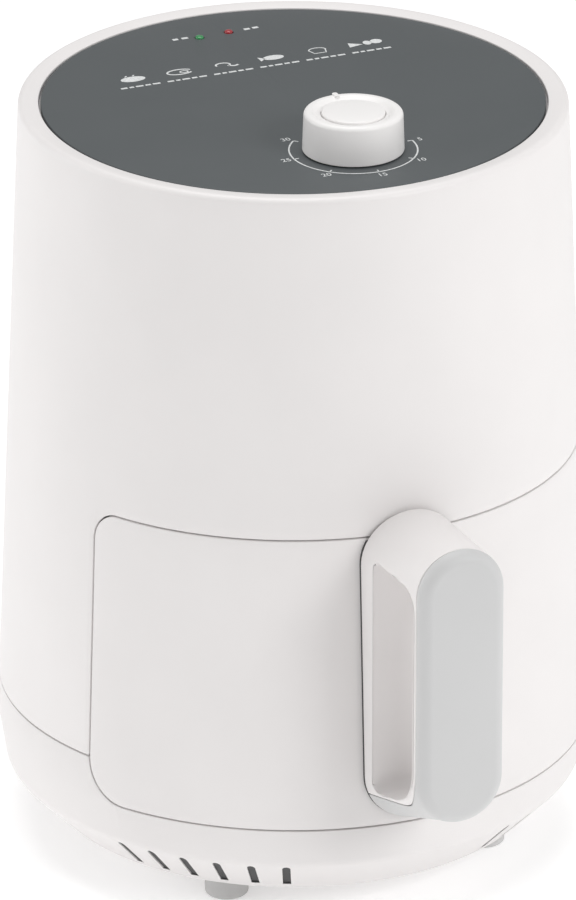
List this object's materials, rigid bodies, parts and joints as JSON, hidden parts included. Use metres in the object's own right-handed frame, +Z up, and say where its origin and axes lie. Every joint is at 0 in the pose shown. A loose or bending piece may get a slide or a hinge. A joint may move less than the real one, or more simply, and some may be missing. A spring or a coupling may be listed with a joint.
{
  "type": "air fryer",
  "caption": "Drum-shaped countertop air fryer with a top timer knob, a pull-out drawer with a tall loop handle, and a vented base on round feet.",
  "frame": {"origin": "on the floor, under the middle of the outside box; the drum's own axis stands 21.25 mm behind it", "axes": "+Z up, -Y towards the front, where the drawer and its handle are, +X to the right as seen from the front"},
  "size_m": [0.21, 0.2524, 0.2876],
  "materials": {
    "white_plastic": "satin moulded white",
    "light_grey_plastic": "satin light grey",
    "slate_panel": "matt slate grey, printed",
    "black_plastic": "matt black moulding",
    "ceramic": "unglazed ceramic or glass-filled resin",
    "dark_coating": "dark non-stick coating on steel",
    "bare_steel": "bare pressed steel",
    "element_steel": "heat-darkened steel sheath",
    "grey_rubber": "pale grey rubber",
    "black_silicone": "black silicone",
    "green_lens": "clear green",
    "red_lens": "clear red",
    "bell_metal": "plain bell metal"
  },
  "bodies": {
    "housing": {"outer_shell": "white_plastic", "outlet_grille": "light_grey_plastic", "base_shell": "white_plastic", "foot_1": "grey_rubber", "foot_2": "grey_rubber", "foot_3": "grey_rubber", "foot_4": "grey_rubber", "chassis_plate": "black_plastic", "base_screw_1": "bare_steel", "base_screw_2": "bare_steel", "base_screw_3": "bare_steel", "base_screw_4": "bare_steel", "cord_gland": "black_plastic", "terminal_block": "ceramic", "top_panel": "slate_panel", "lamp_holder": "black_plastic", "power_lamp": "green_lens", "heat_lamp": "red_lens", "timer_case": "black_plastic", "timer_bell": "bell_metal", "chamber_liner": "bare_steel", "pan_rail_left": "bare_steel", "pan_rail_right": "bare_steel", "mouth_frame": "light_grey_plastic", "switch_body": "black_plastic", "element_guard": "bare_steel", "heating_element": "element_steel", "element_bush_1": "ceramic", "element_bush_2": "ceramic", "heat_reflector": "bare_steel", "motor_bracket": "bare_steel", "motor_body": "bare_steel", "motor_screw_1": "bare_steel", "motor_screw_2": "bare_steel", "thermostat": "ceramic", "thermal_fuse": "ceramic"},
    "drawer": {"drawer_front": "white_plastic", "handle_body": "white_plastic", "handle_cover": "light_grey_plastic", "handle_screw_1": "bare_steel", "handle_screw_2": "bare_steel", "pan_bracket": "black_plastic", "pan": "dark_coating"},
    "plate": {"crisper_plate": "dark_coating", "plate_foot_1": "black_silicone", "plate_foot_2": "black_silicone", "plate_foot_3": "black_silicone", "plate_foot_4": "black_silicone"},
    "dial": {"timer_knob": "white_plastic", "knob_cap": "white_plastic", "timer_spindle": "bare_steel"},
    "rotor": {"motor_shaft": "bare_steel", "convection_fan": "bare_steel", "cooling_fan": "black_plastic"},
    "plunger": {"switch_plunger": "white_plastic"}
  },
  "joints": [
    {"name": "drawer_slide", "type": "slide", "parent": "housing", "child": "drawer", "axis": [0, -1, 0], "range_m": [0, 0.185]},
    {"name": "plate_lift", "type": "slide", "parent": "drawer", "child": "plate", "axis": [0, 0, 1], "range_m": [0, 0.08]},
    {"name": "timer_turn", "type": "hinge", "parent": "housing", "child": "dial", "pos_m": [0, -0.03075, 0.2726], "axis": [0, 0, -1], "range_deg": [0, 315]},
    {"name": "fan_spin", "type": "hinge", "parent": "housing", "child": "rotor", "pos_m": [0, 0.02125, 0.1493], "axis": [0, 0, 1], "continuous": true},
    {"name": "switch_press", "type": "slide", "parent": "housing", "child": "plunger", "axis": [0, 1, 0], "range_m": [0, 0.0015], "stiffness_N_per_m": 200, "springref_m": -0.003}
  ]
}
